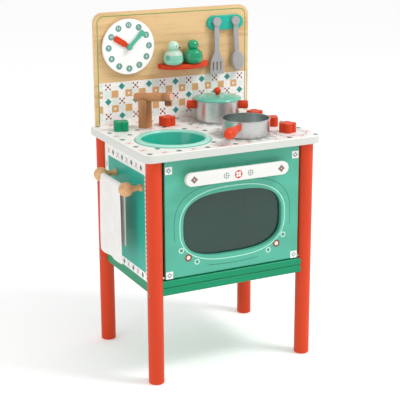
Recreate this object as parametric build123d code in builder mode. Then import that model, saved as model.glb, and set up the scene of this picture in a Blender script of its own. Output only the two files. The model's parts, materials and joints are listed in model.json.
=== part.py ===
"""Wooden play kitchen: a hob and sink worktop on four round legs, with an oven under it,
a printed backboard with clock, shelf and utensil rack, a towel rail, and loose cookware."""
import os
from math import cos, pi, radians, sin, sqrt

from build123d import *

os.makedirs("parts", exist_ok=True)

# ---- driving dimensions, millimetres -----------------------------------------------------
worktop_length, worktop_front, worktop_rear = 433.0, 167.5, 162.5
worktop_thickness, worktop_top = 18.0, 526.0
worktop_corner, worktop_edge = 20.0, 2.5
leg_diameter, leg_span_x, leg_span_y = 35.0, 375.0, 283.0
board_length, board_thickness, board_top, board_corner = 400.0, 9.0, 786.5, 24.0
floor_bottom, floor_thickness = 203.0, 9.0
rail_depth, rail_front = 13.0, 153.0
front_rail_top, hinge_rail_top = 221.0, 237.3
side_rail_top = 225.0
panel_thickness, panel_face = 9.0, 192.0
back_thickness = 6.0
door_width, door_bottom, door_top = 332.0, 238.7, 504.5
door_face, door_thickness = 149.5, 9.0
window_half_width, window_half_height, window_centre, window_power = 123.0, 72.0, 350.0, 3.0
handle_length, handle_height, handle_thickness = 252.8, 29.6, 9.0
handle_centre, handle_face, handle_spacing = 463.5, 173.0, 214.0
sink_x, sink_y, sink_outer, sink_inner, sink_depth = -98.5, -50.0, 84.5, 71.0, 38.0
tap_x, tap_y, tap_side, tap_turn = -104.0, 89.0, 24.0, -60.0
spout_diameter, spout_height, spout_front, spout_rear, spout_rise = 20.0, 71.0, 76.0, 26.0, 6.0
knob_radius, knob_height = 19.3, 21.5
hob_knob_x, hob_knob_ys = 163.0, (-103.0, -26.5, 50.0)
tap_knob_y, cold_knob_x, hot_knob_x = 85.0, -166.0, -50.0
pot_x, pot_y, pot_radius, pot_height, pot_turn = 81.0, 84.0, 53.0, 51.0, -28.0
lid_radius, lid_height = 56.4, 9.5
pan_x, pan_y, pan_radius, pan_height, pan_turn = 66.5, -82.0, 55.0, 38.5, -137.0
sheet_steel = 1.5
clock_x, clock_z, clock_radius, clock_thickness = -118.8, 706.6, 64.0, 7.0
hour_angle, minute_angle = 57.5, -45.6
shelf_x, shelf_z, shelf_length, shelf_depth, shelf_thickness = 23.7, 647.0, 129.5, 39.6, 12.0
bird_y, mint_bird_x, green_bird_x, bird_height = 129.3, -11.5, 39.5, 55.5
rack_x, rack_z, rack_length, rack_height, rack_thickness = 135.3, 747.0, 96.0, 34.4, 7.0
spatula_x, spoon_x, utensil_z, spoon_tilt = 109.2, 159.2, 751.0, 3.5
towel_rail_z, peg_reach, peg_ball, peg_front, peg_rear = 436.5, 37.0, 16.0, -86.0, 58.0
towel_rail_diameter, towel_thickness = 10.0, 3.0
towel_front, towel_rear_top, towel_rear_bottom = -68.5, 37.5, 54.0
towel_outer_bottom, towel_inner_bottom = 262.0, 299.0
small_gap, running_gap = 0.2, 0.05

# ---- where the cabinet's centre line stands, so that the whole part is centred -----------
cabinet_x = (panel_face + peg_reach + peg_ball - worktop_length / 2) / 2
cabinet_y = (handle_face - worktop_rear) / 2
leg_x, leg_y, leg_radius = leg_span_x / 2, leg_span_y / 2, leg_diameter / 2
underside = worktop_top - worktop_thickness
board_face = worktop_rear - board_thickness
loose_z = worktop_top + small_gap


def level(z, x=0.0, y=0.0, turn=0.0):
    """Horizontal plane at height z, its origin at x, y of the cabinet, turned about Z."""
    direction = (cos(radians(turn)), sin(radians(turn)), 0)
    return Plane(origin=(cabinet_x + x, cabinet_y + y, z), x_dir=direction, z_dir=(0, 0, 1))


def facing(y, x=0.0, z=0.0):
    """Upright plane that faces the front: local x is right and local y is up."""
    return Plane(origin=(cabinet_x + x, cabinet_y + y, z), x_dir=(1, 0, 0), z_dir=(0, -1, 0))


def flank(x, y=0.0, z=0.0):
    """Upright plane that faces left: local x is towards the front and local y is up."""
    return Plane(origin=(cabinet_x + x, cabinet_y + y, z), x_dir=(0, -1, 0), z_dir=(-1, 0, 0))


def radial(x, y, z, turn):
    """Upright plane through a vertical axis at x, y: local x points out along turn."""
    out = (cos(radians(turn)), sin(radians(turn)), 0)
    across = (sin(radians(turn)), -cos(radians(turn)), 0)
    return Plane(origin=(cabinet_x + x, cabinet_y + y, z), x_dir=out, z_dir=across)


def save(piece, name):
    piece.part.label = name
    export_step(piece.part, f"parts/{name}.step")


def superellipse(half_width, half_height, power, points=48):
    """Points on a rounded oblong, from its right end and round to the left."""
    ring = []
    for step in range(points):
        angle = 2 * pi * step / points
        c, s = cos(angle), sin(angle)
        x = half_width * (1 if c >= 0 else -1) * abs(c) ** (2 / power)
        y = half_height * (1 if s >= 0 else -1) * abs(s) ** (2 / power)
        ring.append((x, y))
    return ring


leg_places = {
    "leg_front_left": (-leg_x, -leg_y),
    "leg_front_right": (leg_x, -leg_y),
    "leg_rear_left": (-leg_x, leg_y),
    "leg_rear_right": (leg_x, leg_y),
}

# ---- joints' hardware sizes --------------------------------------------------------------
dowel_radius, dowel_in_leg, dowel_in_top = 5.0, 20.0, 10.0
bolt_radius, bolt_head_radius, bolt_head, bolt_length = 2.5, 4.5, 3.0, 38.0
bolt_z = floor_bottom + floor_thickness / 2
hinge_radius, hinge_in_leg, hinge_in_door = 3.0, 10.0, 10.0
hinge_y, hinge_z = -(door_face - door_thickness / 2), door_bottom + door_thickness / 2
spindle_radius, spindle_length = 4.0, 15.0


# ---- legs, their dowels and bolts --------------------------------------------------------
for name, (x, y) in leg_places.items():
    outward = 1 if x > 0 else -1
    with BuildPart() as leg:
        with BuildSketch(level(0, x, y)):
            Circle(leg_radius)
        extrude(amount=underside)
        chamfer(leg.edges().group_by(Axis.Z)[0], 1.5)
        with BuildSketch(level(underside, x, y)):
            Circle(dowel_radius)
        extrude(amount=-dowel_in_leg, mode=Mode.SUBTRACT)
        with BuildSketch(flank(x + outward * leg_radius, y, bolt_z)):
            Circle(bolt_head_radius)
        extrude(amount=outward * (bolt_head + 1), mode=Mode.SUBTRACT)
        with BuildSketch(flank(x + outward * leg_radius, y, bolt_z)):
            Circle(bolt_radius)
        extrude(amount=outward * leg_diameter, mode=Mode.SUBTRACT)
        if y < 0:
            with BuildSketch(flank(x - outward * (leg_radius - hinge_in_leg), hinge_y, hinge_z)):
                Circle(hinge_radius)
            extrude(amount=outward * hinge_in_leg, mode=Mode.SUBTRACT)
    save(leg, name)

with BuildPart() as leg_dowels:
    for x, y in leg_places.values():
        with BuildSketch(level(underside - dowel_in_leg, x, y)):
            Circle(dowel_radius)
        extrude(amount=dowel_in_leg + dowel_in_top)
save(leg_dowels, "leg_dowels")

with BuildPart() as leg_bolts:
    for x, y in leg_places.values():
        outward = 1 if x > 0 else -1
        with BuildSketch(flank(x + outward * (leg_radius - 1), y, bolt_z)):
            Circle(bolt_head_radius - running_gap)
            RegularPolygon(2.4, 6, mode=Mode.SUBTRACT)
        extrude(amount=outward * bolt_head)
        with BuildSketch(flank(x + outward * (leg_radius - 1 - bolt_head / 2), y, bolt_z)):
            Circle(bolt_radius - running_gap)
        extrude(amount=outward * (bolt_length - bolt_head))
save(leg_bolts, "leg_bolts")

# ---- worktop: a rounded slab with the sink cut-out and the spindle holes -----------------
turning_places = [(hob_knob_x, y) for y in hob_knob_ys]
turning_places += [(cold_knob_x, tap_knob_y), (hot_knob_x, tap_knob_y), (tap_x, tap_y)]
worktop_middle = (worktop_rear - worktop_front) / 2
screw_radius, screw_head_radius = 1.8, 3.6
board_screw_xs = (-150.0, 0.0, 150.0)
board_middle = board_face + board_thickness / 2

with BuildPart() as worktop:
    with BuildSketch(level(underside, 0, worktop_middle)):
        RectangleRounded(worktop_length, worktop_front + worktop_rear, worktop_corner)
    extrude(amount=worktop_thickness)
    fillet(worktop.edges().group_by(Axis.Z)[0] + worktop.edges().group_by(Axis.Z)[-1], worktop_edge)
    with BuildSketch(level(underside, sink_x, sink_y)):
        Circle(sink_inner + 3.0)
    extrude(amount=worktop_thickness, mode=Mode.SUBTRACT)
    for x, y in turning_places:
        with BuildSketch(level(worktop_top, x, y)):
            Circle(spindle_radius + running_gap)
        extrude(amount=-(spindle_length + 1), mode=Mode.SUBTRACT)
    for x, y in leg_places.values():
        with BuildSketch(level(underside, x, y)):
            Circle(dowel_radius)
        extrude(amount=dowel_in_top, mode=Mode.SUBTRACT)
    for x in board_screw_xs:
        with BuildSketch(level(underside, x, board_middle)):
            Circle(screw_radius)
        extrude(amount=worktop_thickness, mode=Mode.SUBTRACT)
        with BuildSketch(level(underside, x, board_middle)):
            Circle(screw_head_radius)
        extrude(amount=2.5, mode=Mode.SUBTRACT)
save(worktop, "worktop")

# ---- sink: a pressed bowl with a rolled rim that lies on the worktop ---------------------
rim_height, bowl_wall = 4.5, 2.5
with BuildPart() as sink_bowl:
    with BuildSketch(radial(sink_x, sink_y, worktop_top, 0)):
        with BuildLine():
            Polyline(
                (0, -sink_depth - bowl_wall),
                (sink_inner - 20, -sink_depth - bowl_wall),
                (sink_inner - 4, -sink_depth + 12),
                (sink_inner + bowl_wall, -2),
                (sink_inner + bowl_wall, 0),
                (sink_outer, 0),
                (sink_outer, 2),
                (sink_outer - 4, rim_height),
                (sink_inner + 2, rim_height),
                (sink_inner, 1),
                (sink_inner - 7, -sink_depth + 11),
                (sink_inner - 21, -sink_depth),
                (0, -sink_depth),
                close=True,
            )
        make_face()
    revolve(axis=Axis((cabinet_x + sink_x, cabinet_y + sink_y, 0), (0, 0, 1)))
save(sink_bowl, "sink_bowl")

# ---- backboard and the screws that hold it from under the worktop ------------------------
with BuildPart() as backboard:
    with BuildSketch(facing(board_face, 0, (worktop_top + board_top) / 2)) as outline:
        Rectangle(board_length, board_top - worktop_top)
        fillet(outline.vertices().group_by(Axis.Y)[-1], board_corner)
    extrude(amount=-board_thickness)
    for x in board_screw_xs:
        with BuildSketch(level(worktop_top, x, board_middle)):
            Circle(screw_radius)
        extrude(amount=18, mode=Mode.SUBTRACT)
save(backboard, "backboard")

with BuildPart() as backboard_screws:
    for x in board_screw_xs:
        with BuildSketch(level(underside, x, board_middle)):
            Circle(screw_head_radius - running_gap)
        extrude(amount=2.4)
        with BuildSketch(level(underside + 1, x, board_middle)):
            Circle(screw_radius - running_gap)
        extrude(amount=worktop_thickness + 15)
save(backboard_screws, "backboard_screws")


def notch_legs(bottom, height):
    """Cuts the four legs' round sections out of the piece being made."""
    for x, y in leg_places.values():
        with BuildSketch(level(bottom - 1, x, y)) as leg_section:
            Circle(leg_radius + running_gap)
        extrude(leg_section.sketch, amount=height + 2, mode=Mode.SUBTRACT)


# ---- oven floor, with the rails round it -------------------------------------------------
inner_rail = rail_front - rail_depth
with BuildPart() as floor_board:
    with BuildSketch(level(floor_bottom, 0, (leg_y + 4 - inner_rail) / 2)):
        Rectangle(2 * panel_face, leg_y + 4 + inner_rail)
    extrude(amount=floor_thickness)
    notch_legs(floor_bottom, floor_thickness)
    for x, y in leg_places.values():
        outward = 1 if x > 0 else -1
        with BuildSketch(flank(x, y, bolt_z)):
            Circle(bolt_radius)
        extrude(amount=outward * leg_diameter, mode=Mode.SUBTRACT)
save(floor_board, "floor_board")


def bar(bottom, top, bolted):
    """A bar across the front between the legs, with its front edges rounded."""
    with BuildPart() as made:
        with BuildSketch(level(bottom, 0, -(rail_front - rail_depth / 2))):
            Rectangle(2 * (leg_x - 9), rail_depth)
        extrude(amount=top - bottom)
        fillet(made.edges().filter_by(Axis.X).group_by(Axis.Y)[0], 4.0)
        notch_legs(bottom, top - bottom)
        if bolted:
            with BuildSketch(flank(leg_x, -leg_y, bolt_z)) as bolt_hole:
                Circle(bolt_radius)
            extrude(bolt_hole.sketch, amount=leg_span_x, mode=Mode.SUBTRACT)
    return made


front_rail = bar(floor_bottom + 0.5, front_rail_top, True)
save(front_rail, "front_rail")
hinge_rail = bar(front_rail_top, hinge_rail_top, False)
save(hinge_rail, "hinge_rail")

for name, side in (("side_rail_left", -1), ("side_rail_right", 1)):
    with BuildPart() as side_rail:
        with BuildSketch(level(floor_bottom + floor_thickness, side * (panel_face - 6), 0)):
            Rectangle(12, 2 * (leg_y - 8))
        extrude(amount=side_rail_top - floor_bottom - floor_thickness)
        notch_legs(floor_bottom, side_rail_top - floor_bottom)
    save(side_rail, name)

# ---- side and back panels ----------------------------------------------------------------
rail_screw_radius = 2.0
for name, side in (("side_panel_left", -1), ("side_panel_right", 1)):
    with BuildPart() as side_panel:
        with BuildSketch(level(side_rail_top, side * (panel_face - panel_thickness / 2), 0)):
            Rectangle(panel_thickness, 2 * (leg_y - 8))
        extrude(amount=underside - side_rail_top)
        notch_legs(side_rail_top, underside - side_rail_top)
        if side < 0:
            for y in (peg_front, peg_rear):
                with BuildSketch(flank(-panel_face, y, towel_rail_z)):
                    Circle(rail_screw_radius)
                extrude(amount=-panel_thickness, mode=Mode.SUBTRACT)
    save(side_panel, name)

with BuildPart() as back_panel:
    with BuildSketch(level(floor_bottom + floor_thickness, 0, leg_y)):
        Rectangle(2 * (leg_x - 8), back_thickness)
    extrude(amount=underside - floor_bottom - floor_thickness)
    notch_legs(floor_bottom, underside - floor_bottom)
save(back_panel, "back_panel")

# ---- door with its window pane, handle and catch -----------------------------------------
door_back = -(door_face - door_thickness)
pane_thickness, pane_screw = 2.0, 1.5
pane_width, pane_height = 270.0, 168.0
pane_screws_at = [(sx * (pane_width / 2 - 8), window_centre + sz * (pane_height / 2 - 8))
                  for sx in (-1, 1) for sz in (-1, 1)]
handle_ends = [-handle_spacing / 2, handle_spacing / 2]
handle_screw = 2.0

with BuildPart() as door_panel:
    with BuildSketch(facing(-door_face, 0, (door_bottom + door_top) / 2)):
        Rectangle(door_width, door_top - door_bottom)
    extrude(amount=-door_thickness)
    fillet(door_panel.edges().filter_by(Axis.X).group_by(Axis.Z)[0], door_thickness / 2 - 0.05)
    with BuildSketch(facing(-door_face, 0, window_centre)):
        with BuildLine():
            Spline(*superellipse(window_half_width, window_half_height, window_power), periodic=True)
        make_face()
    extrude(amount=-door_thickness, mode=Mode.SUBTRACT)
    for x in handle_ends:
        with BuildSketch(facing(-door_face, x, handle_centre)):
            Circle(handle_screw)
        extrude(amount=-door_thickness, mode=Mode.SUBTRACT)
    for x, z in pane_screws_at:
        with BuildSketch(facing(door_back, x, z)):
            Circle(pane_screw)
        extrude(amount=6, mode=Mode.SUBTRACT)
    for side in (-1, 1):
        with BuildSketch(flank(side * door_width / 2, hinge_y, hinge_z)):
            Circle(hinge_radius + running_gap)
        extrude(amount=side * (hinge_in_door + 1), mode=Mode.SUBTRACT)
save(door_panel, "door_panel")

with BuildPart() as hinge_pins:
    for side in (-1, 1):
        with BuildSketch(flank(side * (door_width / 2 - hinge_in_door), hinge_y, hinge_z)):
            Circle(hinge_radius)
        extrude(amount=-side * (leg_x - leg_radius + hinge_in_leg - door_width / 2 + hinge_in_door))
save(hinge_pins, "hinge_pins")

with BuildPart() as window_pane:
    with BuildSketch(facing(door_back, 0, window_centre)):
        RectangleRounded(pane_width, pane_height, 14)
        with Locations([(x, z - window_centre) for x, z in pane_screws_at]):
            Circle(pane_screw, mode=Mode.SUBTRACT)
    extrude(amount=-pane_thickness)
save(window_pane, "window_pane")

with BuildPart() as pane_screws:
    for x, z in pane_screws_at:
        with BuildSketch(facing(door_back + pane_thickness + 1.6, x, z)):
            Circle(3.2)
        extrude(amount=1.6)
        with BuildSketch(facing(door_back + pane_thickness + 0.8, x, z)):
            Circle(pane_screw - running_gap)
        extrude(amount=pane_thickness + 6)
save(pane_screws, "pane_screws")

standoff = handle_face - handle_thickness - door_face
with BuildPart() as door_handle:
    with BuildSketch(facing(-(handle_face - handle_thickness), 0, handle_centre)):
        SlotOverall(handle_length, handle_height)
    extrude(amount=handle_thickness)
    fillet(door_handle.edges().group_by(Axis.Y)[0], 2.2)
    for x in handle_ends:
        with BuildSketch(facing(-(handle_face - handle_thickness), x, handle_centre)):
            Circle(handle_screw)
        extrude(amount=6, mode=Mode.SUBTRACT)
save(door_handle, "door_handle")

with BuildPart() as handle_standoffs:
    for x in handle_ends:
        with BuildSketch(facing(-door_face, x, handle_centre)):
            Circle(9)
            Circle(handle_screw, mode=Mode.SUBTRACT)
        extrude(amount=standoff)
save(handle_standoffs, "handle_standoffs")

with BuildPart() as handle_screws:
    for x in handle_ends:
        with BuildSketch(facing(door_back + 2.4, x, handle_centre)):
            Circle(4)
        extrude(amount=2.4)
        with BuildSketch(facing(door_back + 1.2, x, handle_centre)):
            Circle(handle_screw - running_gap)
        extrude(amount=1.2 + door_thickness + standoff + 5.5)
save(handle_screws, "handle_screws")

catch_width, catch_drop = 30.0, 14.0
with BuildPart() as catch_plate:
    with BuildSketch(facing(door_back, 0, door_top - 7)):
        Rectangle(24, 11)
    extrude(amount=-1.0)
save(catch_plate, "catch_plate")

with BuildPart() as magnet_catch:
    with BuildSketch(level(underside, 0, door_back + 8.4)):
        RectangleRounded(catch_width, 14, 2)
    extrude(amount=-catch_drop)
save(magnet_catch, "magnet_catch")


# ---- knobs: four-lobed blocks on wooden spindles -----------------------------------------
def lobed_knob(x, y, turn):
    lobe = knob_radius * 0.46
    with BuildPart() as knob:
        with BuildSketch(level(loose_z, x, y, turn)) as clover:
            with PolarLocations(knob_radius - lobe, 4):
                Circle(lobe)
            Rectangle((knob_radius - lobe) * 1.45, (knob_radius - lobe) * 1.45, rotation=45)
            fillet(clover.vertices(), 1.4)
        extrude(amount=knob_height - small_gap)
        fillet(knob.edges().group_by(Axis.Z)[-1], 1.2)
        with BuildSketch(level(loose_z, x, y)):
            Circle(spindle_radius)
        extrude(amount=-spindle_length)
    return knob


for name, x, y, turn in (
    ("hob_knob_front", hob_knob_x, hob_knob_ys[0], 66),
    ("hob_knob_middle", hob_knob_x, hob_knob_ys[1], 21),
    ("hob_knob_rear", hob_knob_x, hob_knob_ys[2], 66),
    ("cold_tap_knob", cold_knob_x, tap_knob_y, 30),
    ("hot_tap_knob", hot_knob_x, tap_knob_y, 60),
):
    save(lobed_knob(x, y, turn), name)

# ---- tap: square post on a spindle, round spout saddled into it, and a nozzle ------------
spout_plane = radial(tap_x, tap_y, worktop_top + spout_height, tap_turn)
spout_out = spout_plane.x_dir.rotate(Axis((0, 0, 0), spout_plane.z_dir), spout_rise)
spout_start = spout_plane.origin - spout_out * spout_rear
spout_section = Plane(origin=spout_start, x_dir=spout_plane.z_dir, z_dir=spout_out)
nozzle_at = spout_plane.origin + spout_out * (spout_front - 11)

with BuildPart() as tap_post:
    with BuildSketch(level(loose_z, tap_x, tap_y, tap_turn)):
        RectangleRounded(tap_side, tap_side, 3)
    extrude(amount=spout_height)
    with BuildSketch(spout_section):
        Circle(spout_diameter / 2)
    extrude(amount=spout_front + spout_rear, mode=Mode.SUBTRACT)
    with BuildSketch(level(worktop_top + spout_height - 4, tap_x, tap_y)):
        Circle(tap_side)
    extrude(amount=20, mode=Mode.SUBTRACT)
    with BuildSketch(level(loose_z, tap_x, tap_y)):
        Circle(spindle_radius)
    extrude(amount=-spindle_length)
save(tap_post, "tap_post")

with BuildPart() as tap_spout:
    with BuildSketch(spout_section):
        Circle(spout_diameter / 2)
    extrude(amount=spout_front + spout_rear)
    fillet(tap_spout.edges().filter_by(GeomType.CIRCLE), 2.0)
save(tap_spout, "tap_spout")

with BuildPart() as tap_nozzle:
    with BuildSketch(Plane(origin=nozzle_at, z_dir=(0, 0, -1))):
        Circle(7.5)
    extrude(amount=spout_diameter / 2 + 9)
    with BuildSketch(spout_section):
        Circle(spout_diameter / 2 + 0.02)
    extrude(amount=spout_front + spout_rear, mode=Mode.SUBTRACT)
    fillet(tap_nozzle.edges().group_by(Axis.Z)[0], 1.0)
save(tap_nozzle, "tap_nozzle")


# ---- pot with lid, and pan ---------------------------------------------------------------
def pressed_vessel(x, y, radius, height, corner):
    """A thin steel vessel with a rounded bottom corner and a small rolled rim."""
    axis = Axis((cabinet_x + x, cabinet_y + y, 0), (0, 0, 1))
    with BuildPart() as vessel:
        with BuildSketch(radial(x, y, loose_z, 0)):
            with BuildLine():
                wall = radius - 1.2
                Line((0, 0), (wall - corner, 0))
                RadiusArc((wall - corner, 0), (wall, corner), -corner)
                Line((wall, corner), (wall, height - 3))
                Line((wall, height - 3), (radius, height - 2))
                Line((radius, height - 2), (radius, height))
                Line((radius, height), (wall - sheet_steel, height))
                Line((wall - sheet_steel, height), (wall - sheet_steel, corner))
                RadiusArc((wall - sheet_steel, corner), (wall - corner, sheet_steel), corner - sheet_steel)
                Line((wall - corner, sheet_steel), (0, sheet_steel))
                Line((0, sheet_steel), (0, 0))
            make_face()
        revolve(axis=axis)
    return vessel


pot_body = pressed_vessel(pot_x, pot_y, pot_radius, pot_height, 5.0)
save(pot_body, "pot_body")

pot_handle_z, pot_handle_radius, pot_handle_length = loose_z + 37.5, 9.8, 21.0
with BuildPart() as pot_handles:
    for turn in (pot_turn, pot_turn + 180):
        spoke = radial(pot_x, pot_y, pot_handle_z, turn)
        start = spoke.origin + spoke.x_dir * (pot_radius - 1.2 - 3)
        with BuildSketch(Plane(origin=start, x_dir=spoke.z_dir, z_dir=spoke.x_dir)):
            Circle(pot_handle_radius)
        extrude(amount=pot_handle_length + 3)
    fillet(pot_handles.edges().filter_by(GeomType.CIRCLE), 4.0)
    with BuildSketch(level(loose_z, pot_x, pot_y)):
        Circle(pot_radius - 1.2 + 2 * running_gap)
    extrude(amount=pot_height, mode=Mode.SUBTRACT)
save(pot_handles, "pot_handles")

lid_z = loose_z + pot_height + small_gap
lid_axis = Axis((cabinet_x + pot_x, cabinet_y + pot_y, 0), (0, 0, 1))
with BuildPart() as pot_lid:
    with BuildSketch(radial(pot_x, pot_y, lid_z, 0)):
        with BuildLine():
            Polyline((0, lid_height), (0, -3), (pot_radius - 5, -3), (pot_radius - 5, 0),
                     (lid_radius - 1, 0), (lid_radius, 1), (lid_radius, 2.4), (lid_radius - 1.2, 3.8))
            Spline((lid_radius - 1.2, 3.8), (lid_radius * 0.6, lid_height - 1.4), (0, lid_height),
                   tangents=[(-1, 0.45), (-1, 0)])
        make_face()
    revolve(axis=lid_axis)
save(pot_lid, "pot_lid")

lid_knob_radius, lid_knob_neck = 8.4, 4.5
lid_knob_low = 9.4 - sqrt(lid_knob_radius ** 2 - lid_knob_neck ** 2)
with BuildPart() as lid_knob:
    with BuildSketch(radial(pot_x, pot_y, lid_z + lid_height, 0)):
        with BuildLine():
            Line((0, running_gap), (lid_knob_neck, running_gap))
            Line((lid_knob_neck, running_gap), (lid_knob_neck, lid_knob_low))
            ThreePointArc((lid_knob_neck, lid_knob_low), (lid_knob_radius, 9.4), (0, 9.4 + lid_knob_radius))
            Line((0, 9.4 + lid_knob_radius), (0, running_gap))
        make_face()
    revolve(axis=lid_axis)
save(lid_knob, "lid_knob")

pan_body = pressed_vessel(pan_x, pan_y, pan_radius, pan_height, 4.0)
save(pan_body, "pan_body")

pan_handle_z, pan_handle_length, pan_handle_widest = loose_z + 25.0, 74.0, 49.0
with BuildPart() as pan_handle:
    spoke = radial(pan_x, pan_y, pan_handle_z, pan_turn)
    root = pan_radius - 1.2
    with BuildSketch(spoke):
        with BuildLine():
            Line((root - 3, 0), (root - 3, 8))
            widest = (root + pan_handle_widest, 12.8)
            tip = (root + pan_handle_length, 0)
            Spline((root - 3, 8), (root + 20, 8.6), widest, tangents=[(1, 0.0), (1, 0.1)])
            Spline(widest, (tip[0] - 7, 9.5), tip, tangents=[(1, 0.1), (0, -1)])
            Line(tip, (root - 3, 0))
        make_face()
    revolve(axis=Axis(spoke.origin, spoke.x_dir))
    with BuildSketch(level(loose_z, pan_x, pan_y)):
        Circle(root + 0.02)
    extrude(amount=pan_height, mode=Mode.SUBTRACT)
save(pan_handle, "pan_handle")

# ---- clock on the backboard --------------------------------------------------------------
spacer_depth = 5.0
clock_back = board_face - spacer_depth
clock_front = clock_back - clock_thickness
pin_radius, hand_thickness = 2.5, 2.6
hour_y = clock_front - 0.8
minute_y = hour_y - hand_thickness - 0.6
cap_y = minute_y - hand_thickness - 0.4

with BuildPart() as clock_spacer:
    with BuildSketch(facing(board_face, clock_x, clock_z)):
        Circle(14)
        Circle(pin_radius, mode=Mode.SUBTRACT)
    extrude(amount=spacer_depth)
save(clock_spacer, "clock_spacer")

with BuildPart() as clock_face:
    with BuildSketch(facing(clock_back, clock_x, clock_z)):
        Circle(clock_radius)
        Circle(pin_radius, mode=Mode.SUBTRACT)
    extrude(amount=clock_thickness)
    fillet(clock_face.edges().group_by(Axis.Y)[0].sort_by(SortBy.LENGTH)[-1], 1.5)
save(clock_face, "clock_face")

with BuildPart() as clock_pin:
    with BuildSketch(facing(board_face, clock_x, clock_z)):
        Circle(pin_radius - running_gap)
    extrude(amount=board_face - cap_y)
    with BuildSketch(facing(cap_y, clock_x, clock_z)):
        Circle(6.0)
    extrude(amount=3.0)
    fillet(clock_pin.edges().group_by(Axis.Y)[0], 1.2)
save(clock_pin, "clock_pin")


def pointer(y, angle, length, neck, width, tail, head):
    """A clock hand: a round boss on the pin and a bar that widens into a round-ended paddle."""
    plane = Plane(origin=(cabinet_x + clock_x, cabinet_y + y, clock_z),
                  x_dir=(-sin(radians(angle)), 0, cos(radians(angle))), z_dir=(0, -1, 0))
    with BuildPart() as hand:
        with BuildSketch(plane):
            Circle(tail)
            with Locations((length / 2, 0)):
                Rectangle(length - 6, neck)
            with Locations((length - head / 2, 0)):
                RectangleRounded(head, width, width * 0.3)
            Circle(pin_radius + running_gap, mode=Mode.SUBTRACT)
        extrude(amount=hand_thickness)
        fillet(hand.faces().filter_by(Axis.Y).sort_by(Axis.Y)[0].outer_wire().edges(), 0.6)
    return hand


save(pointer(hour_y, hour_angle, 43.0, 10.0, 14.0, 7.0, 33.0), "hour_hand")
save(pointer(minute_y, minute_angle, 50.0, 8.0, 13.0, 7.0, 13.0), "minute_hand")

# ---- shelf with two wooden birds ---------------------------------------------------------
with BuildPart() as shelf:
    with BuildSketch(level(shelf_z, shelf_x, board_face)):
        Ellipse(shelf_length / 2, shelf_depth)
        with Locations((0, shelf_depth)):
            Rectangle(shelf_length * 1.2, 2 * shelf_depth, mode=Mode.SUBTRACT)
    extrude(amount=shelf_thickness)
    fillet(shelf.edges().filter_by(GeomType.ELLIPSE), 3.0)
save(shelf, "shelf")


def turned_bird(x, beak_turn):
    """A bird turned on a lathe: a squat body, a waist and a round head, with a small beak."""
    base = shelf_z + shelf_thickness + small_gap
    head_z = bird_height - 13.5
    with BuildPart() as bird:
        with BuildSketch(radial(x, bird_y, base, 0)):
            with BuildLine():
                Line((0, 0), (14, 0))
                Spline((14, 0), (22.9, 11), (20.5, 26), (10.5, 34.5), tangents=[(1, 0.25), (-0.7, 0.4)])
                ThreePointArc((10.5, 34.5), (13.4, head_z), (0, bird_height))
                Line((0, bird_height), (0, 0))
            make_face()
        revolve(axis=Axis((cabinet_x + x, cabinet_y + bird_y, 0), (0, 0, 1)))
        nose = radial(x, bird_y, base + head_z - 2, beak_turn)
        with BuildSketch(nose):
            with BuildLine():
                Polyline((9, 3), (17.5, 0), (9, 0), close=True)
            make_face()
        revolve(axis=Axis(nose.origin, nose.x_dir))
    return bird


save(turned_bird(mint_bird_x, -35), "mint_bird")
save(turned_bird(green_bird_x, 20), "green_bird")

# ---- utensil rack with its pegs, spatula and spoon ---------------------------------------
rack_front = board_face - rack_thickness
hook_radius, hook_reach, utensil_back, utensil_thickness = 3.0, 6.5, 1.5, 7.0
utensil_y = rack_front - utensil_back

with BuildPart() as utensil_rack:
    with BuildSketch(facing(board_face, rack_x, rack_z)):
        SlotOverall(rack_length, rack_height)
    extrude(amount=rack_thickness)
    fillet(utensil_rack.edges().group_by(Axis.Y)[0], 2.0)
    for x in (spatula_x, spoon_x):
        with BuildSketch(facing(rack_front, x, utensil_z)):
            Circle(hook_radius)
        extrude(amount=-4, mode=Mode.SUBTRACT)
save(utensil_rack, "utensil_rack")

with BuildPart() as rack_pegs:
    for x in (spatula_x, spoon_x):
        with BuildSketch(facing(rack_front + 4, x, utensil_z)):
            Circle(hook_radius - 0.02)
        extrude(amount=4 + hook_reach)
save(rack_pegs, "rack_pegs")


def hanging_plane(x, tilt):
    """Upright plane at a peg: local y runs up the utensil, which hangs tilted by tilt."""
    return Plane(origin=(cabinet_x + x, cabinet_y + utensil_y, utensil_z),
                 x_dir=(cos(radians(tilt)), 0, sin(radians(tilt))), z_dir=(0, -1, 0))


head_radius, shaft_width, peg_hole = 10.4, 12.0, hook_radius + running_gap
hole_depth = hook_reach - utensil_back + 0.5

with BuildPart() as spatula:
    with BuildSketch(hanging_plane(spatula_x, 0)):
        with Locations((0, -40)):
            Rectangle(shaft_width, 70)
        with BuildLine():
            Polyline((-5.5, -70), (5.5, -70), (16.5, -94), (18.5, -126),
                     (-18.5, -126), (-16.5, -94), close=True)
        make_face()
        with Locations((-9.5, -106), (0, -106), (9.5, -106)):
            SlotOverall(21, 3.4, rotation=90, mode=Mode.SUBTRACT)
    extrude(amount=4.5)
    with BuildSketch(hanging_plane(spatula_x, 0)):
        Circle(head_radius)
    extrude(amount=utensil_thickness)
    with BuildSketch(hanging_plane(spatula_x, 0)):
        Circle(peg_hole)
    extrude(amount=hole_depth, mode=Mode.SUBTRACT)
save(spatula, "spatula")

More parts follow.
